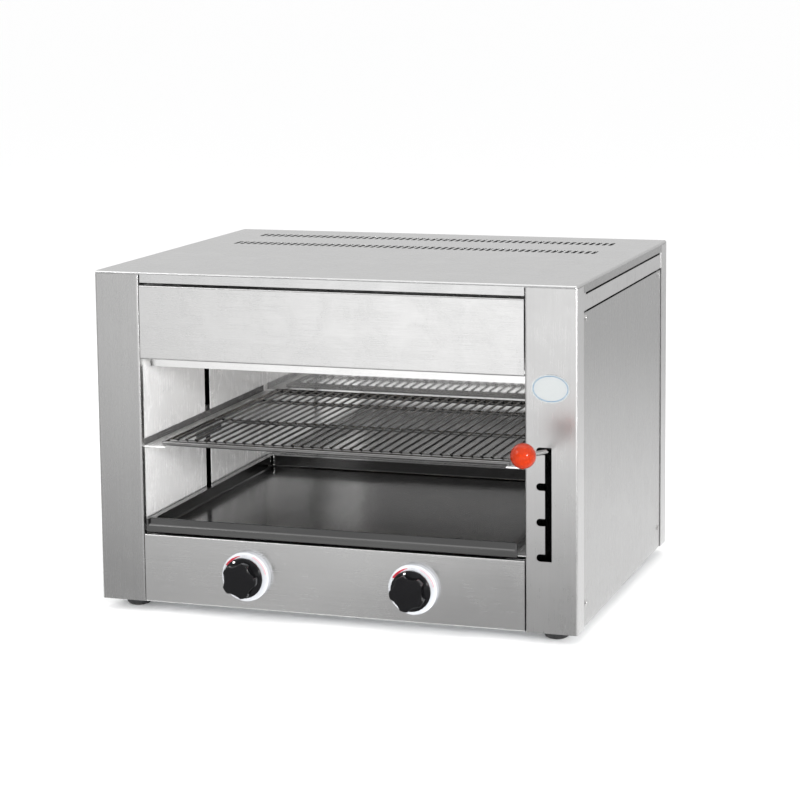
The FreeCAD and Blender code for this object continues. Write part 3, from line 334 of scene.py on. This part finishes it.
def moulded_rubber(name):
    material, tree, shader = new_material(name)
    pores = noise(tree, even(PORE_SCALE), detail=3.0)
    dust = noise(tree, even(DUST_SCALE), detail=5.0, roughness=0.7)
    colour = mix_colour(tree, remap(tree, dust, 0.0, 1.0, *DUST_RANGE), *RUBBER_COLOURS)
    tree.links.new(colour, shader.inputs["Base Color"])
    tree.links.new(remap(tree, dust, *DUST_ROUGHNESS), shader.inputs["Roughness"])
    bump(tree, shader, pores, *PORE_BUMP)
    return material


def cast_iron(name):
    material, tree, shader = new_material(name)
    sand = noise(tree, even(SAND_SCALE), detail=5.0, roughness=0.7)
    heat = noise(tree, even(IRON_CLOUD_SCALE), detail=3.0)
    colour = mix_colour(tree, remap(tree, heat, 0.0, 1.0), *IRON_COLOURS)
    tree.links.new(colour, shader.inputs["Base Color"])
    tree.links.new(remap(tree, sand, *SAND_ROUGHNESS), shader.inputs["Roughness"])
    shader.inputs["Metallic"].default_value = IRON_METALLIC
    bump(tree, shader, sand, *SAND_BUMP)
    return material


def pierced_ceramic(name):
    # A pale tile with rows of small flame holes, painted dark as the shade inside them
    material, tree, shader = new_material(name)
    holes = tree.nodes.new("ShaderNodeTexVoronoi")
    holes.inputs["Scale"].default_value = 1.0
    holes.inputs["Randomness"].default_value = 0.0
    tree.links.new(coordinates(tree, even(HOLE_SCALE)), holes.inputs["Vector"])
    beside = remap(tree, holes.outputs["Distance"], 0.0, 1.0, *HOLE_RANGE)
    heat = noise(tree, even(TILE_CLOUD_SCALE), detail=4.0)
    face = mix_colour(tree, remap(tree, heat, 0.0, 1.0), *TILE_COLOURS)
    # The holes are painted shade
    tree.links.new(mix_colour(tree, beside, HOLE_SHADE_COLOUR, face), shader.inputs["Base Color"])
    tree.links.new(remap(tree, heat, *TILE_ROUGHNESS), shader.inputs["Roughness"])
    bump(tree, shader, beside, *HOLE_BUMP)
    return material


finishes = {
    # Both columns' dark bands are painted shade in the gap between each column and its side panel
    # The left column's steel is a darker copy of the right column's, as painted shade
    "shaded_left_column": brushed_steel("left_frame_steel_shaded", 0.54, "z",
                                 painted_shade_bands=(("X", 0.028, 0.056), ("Y", 0.03, 0.97))),
    "right_column": brushed_steel("right_frame_steel", 0.65, "z", roughness=0.3, grain=0.02,
                                  painted_shade_bands=(("X", 0.944, 0.972), ("Y", 0.03, 0.97))),
    # The top cover's front lip is painted lighter than its top, as painted light
    "top": brushed_steel("top_steel", 0.43, "x", contrast=0.02, painted_end=("Y", 0.002, 0.004, 0.68)),
    "hood": brushed_steel("hood_steel", 0.72, "x", contrast=0.015),
    "lower": brushed_steel("lower_panel_steel", 0.71, "x", roughness=0.22),
    # The side panels' inner returns are painted near black as painted shade, where they show through the gaps
    "left_side": brushed_steel("left_panel_steel", 0.48, "z", contrast=0.02, painted_end=("X", 0.15, 0.03, 0.05)),
    "right_side": brushed_steel("right_panel_steel", 0.48, "z", contrast=0.02,
                                painted_end=("X", 0.85, 0.97, 0.05)),
    # The cavity walls' outer sides are painted near black as painted shade, where they show through the slots
    "left_wall": brushed_steel("left_wall_steel", 0.90, "z", contrast=0.008, grain=0.01, metallic=0.35,
                               painted_end=("X", 0.10, 0.50, 0.02)),
    "right_wall": brushed_steel("right_wall_steel", 0.90, "z", contrast=0.008, grain=0.01, metallic=0.35,
                                painted_end=("X", 0.90, 0.50, 0.02)),
    "back_wall": brushed_steel("cavity_back_steel", 0.92, "z", contrast=0.01, roughness=0.08, grain=0.01,
                               metallic=0.88),
    "box": brushed_steel("burner_box_steel", 0.90, "x", roughness=0.2, painted_end=("Z", 0.95, 0.80, 0.03)),
    # Each rail's upright web is painted dark as a painted shadow line where it meets the cavity wall
    "left_rail": brushed_steel("left_rail_steel", 0.90, "y", metallic=0.25,
                               painted_end=("X", 0.045, 0.055, 0.10)),
    "right_rail": brushed_steel("right_rail_steel", 0.90, "y", metallic=0.25,
                                painted_end=("X", 0.955, 0.945, 0.10)),
    "runner": brushed_steel("runner_steel", 0.80, "y", metallic=0.5),
    # The tray's dark band is painted shade on its sloped front lip
    "tray": brushed_steel("tray_steel", 0.17, "x", contrast=0.02, roughness=0.16, grain=0.02,
                          painted_shade_bands=(("Y", 0.004, 0.032),)),
    "arm": brushed_steel("arm_steel", 0.52, "y", roughness=0.34),
    "zinc": zinc_sheet("zinc_sheet"),
    "chrome": plated_wire("plated_wire", 0.30, roughness=0.06),
    "bright": plated_wire("bright_steel", 0.62, roughness=0.12),
    "brass": warm_metal("turned_brass", (0.55, 0.40, 0.16), (0.80, 0.64, 0.32)),
    "copper": warm_metal("copper_tube", (0.50, 0.24, 0.14), (0.82, 0.48, 0.32)),
    "iron": cast_iron("burner_iron"),
    "tile": pierced_ceramic("burner_ceramic"),
    "dial": moulded_plastic("dial_white", (0.40, 0.41, 0.43), roughness=0.12, coat=0.3, variation=0.015),
    "badge": moulded_plastic("badge_white", (0.23, 0.24, 0.24), roughness=0.1, coat=0.3, variation=0.02),
    "knob": moulded_plastic("knob_black", (0.004, 0.004, 0.0045), roughness=0.1, gloss=0.2),
    "ball": moulded_plastic("ball_orange", (0.24, 0.016, 0.002), roughness=0.14, variation=0.1, gloss=0.25),
    "rubber": moulded_rubber("foot_rubber"),
    "print_red": moulded_plastic("print_red", (0.32, 0.015, 0.03), roughness=0.25),
    "print_red_thin": moulded_plastic("print_red_thin", (0.62, 0.18, 0.2), roughness=0.25),
    "print_blue": moulded_plastic("print_blue", (0.03, 0.09, 0.16), roughness=0.25),
    "print_grey": moulded_plastic("print_grey", (0.30, 0.30, 0.31), roughness=0.25),
    "pointer": moulded_plastic("pointer_white", (0.90, 0.90, 0.90), roughness=0.2),
}

finish_of_node = {
    "side_frame": "right_column", "side_panel": "right_side", "cavity_wall": "right_wall", "burner": "iron",
    "burner_tile": "tile", "gas_valve": "brass", "gas_pipe": "copper", "dial": "dial", "spindle": "brass",
    "knob": "knob", "lift_arm": "arm", "carrier": "arm", "guide_rod": "bright", "rack_rail": "right_rail",
    "tray_runner": "runner", "top_cover": "top", "hood_panel": "hood", "lower_panel": "lower",
    "back_panel": "zinc", "base_pan": "zinc", "guide_brackets": "zinc", "side_panel_screws": "bright",
    "back_panel_screws": "bright", "badge": "badge", "cavity_back": "back_wall", "burner_box": "box",
    "manifold": "arm", "gas_inlet": "brass", "injectors": "brass", "flame_sensors": "copper",
    "pivot_bushes": "brass", "cross_shaft": "bright", "swing_pin": "bright", "lever_rod": "bright",
    "ball_knob": "ball", "rail_nuts": "bright", "rack_frame": "chrome", "rack_wires": "chrome",
    "drip_tray": "tray", "foot_studs": "bright", "foot": "rubber",
}


def kind_of(node):
    # The node's name without the side or corner that it stands at
    if node.startswith("foot_") and node != "foot_studs":
        return "foot"
    for side in ("left_", "right_"):
        if node.startswith(side):
            return node[len(side):]
    return node


def dress(node, finish):
    slots = nodes[node].data.materials
    for index in range(len(slots)):
        slots[index] = finishes[finish]
    if not slots:
        slots.append(finishes[finish])


for node in nodes:
    dress(node, finish_of_node[kind_of(node)])
for node, finish in (("side_frame", "shaded_left_column"), ("side_panel", "left_side"), ("cavity_wall", "left_wall"),
                     ("rack_rail", "left_rail")):
    dress("left_" + node, finish)


# Printed marks and other small pieces on the solids

# Lengths in mm and angles in degrees from +X towards +Z; a pair is the start and the end along an arc
DIAL_MARK_RADIUS = 27.0
FLAME_ANGLES = (151.0, 102.0)
FLAME_WIDTHS = (4.2, 0.7)
DIAL_LINES = {"outer": (28.4, "print_red_thin"), "inner": (26.9, "print_grey")}
LINE_ANGLES = (68.0, 11.0)
LINE_WIDTHS = (0.7, 0.7)
OFF_ANGLE = 90.0
OFF_DOT_RADIUS = 1.1
TICK_ANGLES = (84.0, 96.0)
TICK_HALF_ANGLE = 0.8
TICK_WIDTHS = (2.4, 2.4)
MARK_THICKNESS = 0.12
POINTER_ANGLES = {"left": 117.5, "right": 107.0}
POINTER_RADIUS = 22.4
POINTER_DOT = (1.75, 0.5)
SKIRT_DEPTH = 5.0
BADGE_BORDER_INSET = 1.6
BADGE_BORDER_WIDTH = 0.9


def add_piece(name, mesh_builder, material, body):
    mesh = bpy.data.meshes.new(name)
    bm = bmesh.new()
    mesh_builder(bm)
    bmesh.ops.recalc_face_normals(bm, faces=bm.faces)
    bm.to_mesh(mesh)
    bm.free()
    piece = bpy.data.objects.new(name, mesh)
    bpy.context.scene.collection.objects.link(piece)
    piece.data.materials.append(material)
    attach(piece, body)


def face_point(centre, radius, angle, y):
    # A point on a round face that looks to the front, with its angle counted from +X towards +Z
    turn = math.radians(angle)
    return (centre.x + radius * MM * math.cos(turn), y, centre.z + radius * MM * math.sin(turn))


def arc_band(bm, centre, front, radius, widths, angles, steps=40):
    # A printed band along an arc, whose width runs evenly from the first to the last of two widths
    rows = []
    for index in range(steps + 1):
        share = index / steps
        angle = angles[0] + (angles[1] - angles[0]) * share
        half = (widths[0] + (widths[1] - widths[0]) * share) / 2
        row = []
        for y in (front, front - MARK_THICKNESS * MM):
            for reach in (radius - half, radius + half):
                row.append(bm.verts.new(face_point(centre, reach, angle, y)))
        rows.append(row)
    for first, second in zip(rows, rows[1:]):
        for a, b in ((0, 1), (1, 3), (3, 2), (2, 0)):
            bm.faces.new((first[a], first[b], second[b], second[a]))
    for row in (rows[0], rows[-1]):
        bm.faces.new((row[0], row[1], row[3], row[2]))


def raised_dot(bm, centre, place_radius, angle, front, dot_radius, height, segments=24, rings=4):
    # A low dome on a face that looks to the front
    middle = Vector(face_point(centre, place_radius, angle, front))
    loops = []
    for ring in range(rings):
        turn = math.pi / 2 * ring / rings
        reach = dot_radius * MM * math.cos(turn)
        y = middle.y - height * MM * math.sin(turn)
        loop = []
        for index in range(segments):
            around = 2 * math.pi * index / segments
            across, up = reach * math.cos(around), reach * math.sin(around)
            loop.append(bm.verts.new((middle.x + across, y, middle.z + up)))
        loops.append(loop)
    for lower, upper in zip(loops, loops[1:]):
        for index in range(segments):
            after = (index + 1) % segments
            bm.faces.new((lower[index], lower[after], upper[after], upper[index]))
    bm.faces.new(loops[0])
    tip = bm.verts.new((middle.x, middle.y - height * MM, middle.z))
    for index in range(segments):
        bm.faces.new((loops[-1][index], loops[-1][(index + 1) % segments], tip))


def dial_centre(side):
    low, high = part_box(side + "_dial")
    return (low + high) / 2, low.y


def print_dial(side):
    centre, front = dial_centre(side)

    def print_band(name, radius, widths, angles, finish):
        add_piece(side + "_dial_" + name, lambda bm: arc_band(bm, centre, front, radius, widths, angles),
                  finishes[finish], "cabinet")

    print_band("flame_mark", DIAL_MARK_RADIUS, FLAME_WIDTHS, FLAME_ANGLES, "print_red")
    for name, (radius, finish) in DIAL_LINES.items():
        print_band(name + "_line", radius, LINE_WIDTHS, LINE_ANGLES, finish)
    dot = (DIAL_MARK_RADIUS, OFF_ANGLE, front, OFF_DOT_RADIUS, MARK_THICKNESS)
    add_piece(side + "_dial_off_dot", lambda bm: raised_dot(bm, centre, *dot),
              finishes["print_grey"], "cabinet")
    for angle in TICK_ANGLES:
        ends = (angle - TICK_HALF_ANGLE, angle + TICK_HALF_ANGLE)
        print_band("off_tick_" + str(int(angle)), DIAL_MARK_RADIUS, TICK_WIDTHS, ends, "print_grey")


def knob_skirt_front(side):
    # The skirt's front face at the pointer, counted from the knob's back
    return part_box(side + "_knob")[1].y - SKIRT_DEPTH * MM


def mark_pointer(side):
    centre, _ = dial_centre(side)
    place = (POINTER_RADIUS, POINTER_ANGLES[side], knob_skirt_front(side))
    add_piece(side + "_pointer_dot", lambda bm: raised_dot(bm, centre, *place, *POINTER_DOT),
              finishes["pointer"], side + "_burner_knob")


def ellipse_band(bm, centre, front, halves, width, steps=72):
    # A printed line along an ellipse on a face that looks to the front
    rows = []
    for index in range(steps):
        turn = 2 * math.pi * index / steps
        row = []
        for y in (front, front - MARK_THICKNESS * MM):
            for shrink in (width, 0.0):
                x = centre.x + (halves[0] - shrink) * MM * math.cos(turn)
                row.append(bm.verts.new((x, y, centre.z + (halves[1] - shrink) * MM * math.sin(turn))))
        rows.append(row)
    for index, first in enumerate(rows):
        second = rows[(index + 1) % steps]
        for a, b in ((0, 1), (1, 3), (3, 2), (2, 0)):
            bm.faces.new((first[a], first[b], second[b], second[a]))


def print_badge():
    low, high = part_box("badge")
    centre = (low + high) / 2
    reach = (high - low) / 2 / MM
    halves = (reach.x - BADGE_BORDER_INSET, reach.z - BADGE_BORDER_INSET)
    add_piece("badge_border", lambda bm: ellipse_band(bm, centre, low.y, halves, BADGE_BORDER_WIDTH),
              finishes["print_blue"], "cabinet")


for side in ("left", "right"):
    print_dial(side)
    mark_pointer(side)
print_badge()


# Stage, lights and camera, in metres

FLOOR_HALF = 150.0
FLOOR_TONE = 0.93
FLOOR_ROUGHNESS = 0.8
CARD_HEIGHT = 0.002
DARK_ROOM_HEIGHT = 3.6
SKY_TONES = (0.80, 1.1)
SKY_TOP = 0.6

# The tones of the reflection cards, and the places between which they run
ACROSS_SLOPE = (0.6, -0.223)
ACROSS_TONES = (0.78, 1.42)
ACROSS_RANGE = (-0.42, 0.12)
OUTWARD_TONES = (1.0, 0.42)
OUTWARD_RANGE = (-2.4, -0.35)
FOOT_SHADE = 0.34
FOOT_SHADE_X = (-0.08, 0.12)
FOOT_SHADE_Y = (-1.2, -0.55)
SIDE_TONES = (1.0, 0.6)
SIDE_RANGE = (0.5, 2.1)
ROOM_TONES = (0.10, 0.2)
ROOM_RANGE = (-4.0, 4.0)
ROOM_PALING = 5.0
ROOM_PALING_RANGE = (1.9, 2.7)

# Each light's name, place, aim, size and power in watts, and whether it shows in reflections
LIGHTS = (
    ("key_left", (-2.6, -2.4, 2.6), (0, 0, 0.2), (1.6, 1.6), 30, True),
    ("right_low", (1.9, -1.6, 0.75), (-0.25, -0.1, 0.2), (0.4, 0.4), 44, True),
    ("front_low", (0.9, -3.0, 0.5), (-0.2, 0.2, 0.2), (0.5, 0.3), 100, False),
    ("top", (0.2, 0.4, 3.2), (0, 0, 0.3), (2.4, 2.0), 14, True),
)


def soft_light(name, place, aim, size, power, glossy):
    data = bpy.data.lights.new(name, "AREA")
    data.shape = "RECTANGLE"
    data.size, data.size_y = size
    data.energy = power
    light = bpy.data.objects.new(name, data)
    light.location = place
    direction = Vector(aim) - Vector(place)
    light.rotation_euler = direction.to_track_quat("-Z", "Y").to_euler()
    light.visible_glossy = glossy
    bpy.context.scene.collection.objects.link(light)


def flat_sheet(name, half_width, half_depth):
    mesh = bpy.data.meshes.new(name)
    corners = [(-half_width, -half_depth, 0), (half_width, -half_depth, 0),
               (half_width, half_depth, 0), (-half_width, half_depth, 0)]
    mesh.from_pydata(corners, [], [(0, 1, 2, 3)])
    sheet = bpy.data.objects.new(name, mesh)
    bpy.context.scene.collection.objects.link(sheet)
    return sheet


def make_stage():
    floor = flat_sheet("floor", FLOOR_HALF, FLOOR_HALF)
    material, tree, shader = new_material("pale_floor")
    shader.inputs["Base Color"].default_value = (FLOOR_TONE, FLOOR_TONE, FLOOR_TONE, 1.0)
    shader.inputs["Roughness"].default_value = FLOOR_ROUGHNESS
    floor.data.materials.append(material)


def reflection_card(name, place, aim, size, make_tone):
    # A studio card that shows only as a soft reflection, with a tone that may change over its face
    card = flat_sheet(name, size[0] / 2, size[1] / 2)
    card.location = place
    card.rotation_euler = (Vector(aim) - Vector(place)).to_track_quat("Z", "Y").to_euler()
    card.visible_camera = False
    card.visible_shadow = False
    card.visible_diffuse = False
    material, tree, shader = new_material(name)
    shader.inputs["Base Color"].default_value = (0.0, 0.0, 0.0, 1.0)
    shader.inputs["Specular IOR Level"].default_value = 0.0
    shader.inputs["Emission Strength"].default_value = 1.0
    tree.links.new(make_tone(tree), shader.inputs["Emission Color"])
    card.data.materials.append(material)


def world_place(tree):
    place = tree.nodes.new("ShaderNodeNewGeometry")
    split = tree.nodes.new("ShaderNodeSeparateXYZ")
    tree.links.new(place.outputs["Position"], split.inputs["Vector"])
    return split.outputs["X"], split.outputs["Y"], split.outputs["Z"]


def front_floor_tone(tree):
    # Brighter to the right and away from the cabinet, as seen in its front by the photograph's camera
    x, y, _ = world_place(tree)
    rightward = combine(tree, "MULTIPLY", x, ACROSS_SLOPE[0])
    forward = combine(tree, "MULTIPLY", y, ACROSS_SLOPE[1])
    sideways = remap(tree, combine(tree, "ADD", rightward, forward), *ACROSS_TONES, *ACROSS_RANGE)
    outward = remap(tree, y, *OUTWARD_TONES, *OUTWARD_RANGE)
    # Darker close to the cabinet's right foot
    beside = remap(tree, x, 0.0, FOOT_SHADE, *FOOT_SHADE_X)
    before = remap(tree, y, 0.0, 1.0, *FOOT_SHADE_Y)
    shade = combine(tree, "SUBTRACT", 1.0, combine(tree, "MULTIPLY", beside, before))
    return combine(tree, "MULTIPLY", combine(tree, "MULTIPLY", sideways, outward), shade)


def side_floor_tone(tree):
    _, y, _ = world_place(tree)
    return remap(tree, y, *SIDE_TONES, *SIDE_RANGE)


def dark_room_tone(tree):
    # Paler high up, so that the cabinet's top isn't black from behind
    x, _, z = world_place(tree)
    sideways = remap(tree, x, *ROOM_TONES, *ROOM_RANGE)
    return combine(tree, "MULTIPLY", sideways, remap(tree, z, 1.0, ROOM_PALING, *ROOM_PALING_RANGE))


def make_cards():
    for name, x, y, size, tone in (("front_floor_card", -1.0, -3.215, (9.0, 6.0), front_floor_tone),
                                   ("side_floor_card", 3.325, 2.7, (6.0, 6.0), side_floor_tone)):
        reflection_card(name, (x, y, CARD_HEIGHT), (x, y, 1.0), size, tone)
    place, aim = (0.0, -7.0, DARK_ROOM_HEIGHT), (0.0, 0.0, DARK_ROOM_HEIGHT)
    reflection_card("dark_room_card", place, aim, (16.0, 5.6), dark_room_tone)


def make_world():
    world = bpy.data.worlds.new("studio")
    world.use_nodes = True
    tree = world.node_tree
    background = tree.nodes["Background"]
    place = tree.nodes.new("ShaderNodeTexCoord")
    split = tree.nodes.new("ShaderNodeSeparateXYZ")
    tree.links.new(place.outputs["Generated"], split.inputs["Vector"])
    height = remap(tree, split.outputs["Z"], 0.0, 1.0, 0.0, SKY_TOP)
    sky = mix_colour(tree, height, *(grey(tone) for tone in SKY_TONES))
    tree.links.new(sky, background.inputs["Color"])
    bpy.context.scene.world = world


def camera_axes():
    yaw, pitch, roll = (math.radians(a) for a in (CAMERA_YAW, CAMERA_PITCH, CAMERA_ROLL))
    forward = Vector((-math.sin(yaw) * math.cos(pitch), math.cos(yaw) * math.cos(pitch), -math.sin(pitch)))
    level = Vector((math.cos(yaw), math.sin(yaw), 0))
    up = level.cross(forward)
    right = math.cos(roll) * level + math.sin(roll) * up
    top = -math.sin(roll) * level + math.cos(roll) * up
    return right, top, forward


def make_camera():
    data = bpy.data.cameras.new("camera")
    data.sensor_width = SENSOR_MM
    data.lens = FOCAL_PX / PHOTO_WIDTH * SENSOR_MM
    data.shift_y = LENS_SHIFT
    camera = bpy.data.objects.new("camera", data)
    right, top, forward = camera_axes()
    turn = Matrix((right, top, -forward)).transposed().to_4x4()
    place = Vector(CAMERA_PLACE) * MM + Vector((0, front_y, under_z))
    camera.matrix_world = Matrix.Translation(place) @ turn
    bpy.context.scene.collection.objects.link(camera)
    bpy.context.scene.camera = camera


make_stage()
make_cards()
make_world()
for light in LIGHTS:
    soft_light(*light)
make_camera()
bpy.context.scene.view_settings.view_transform = "Standard"
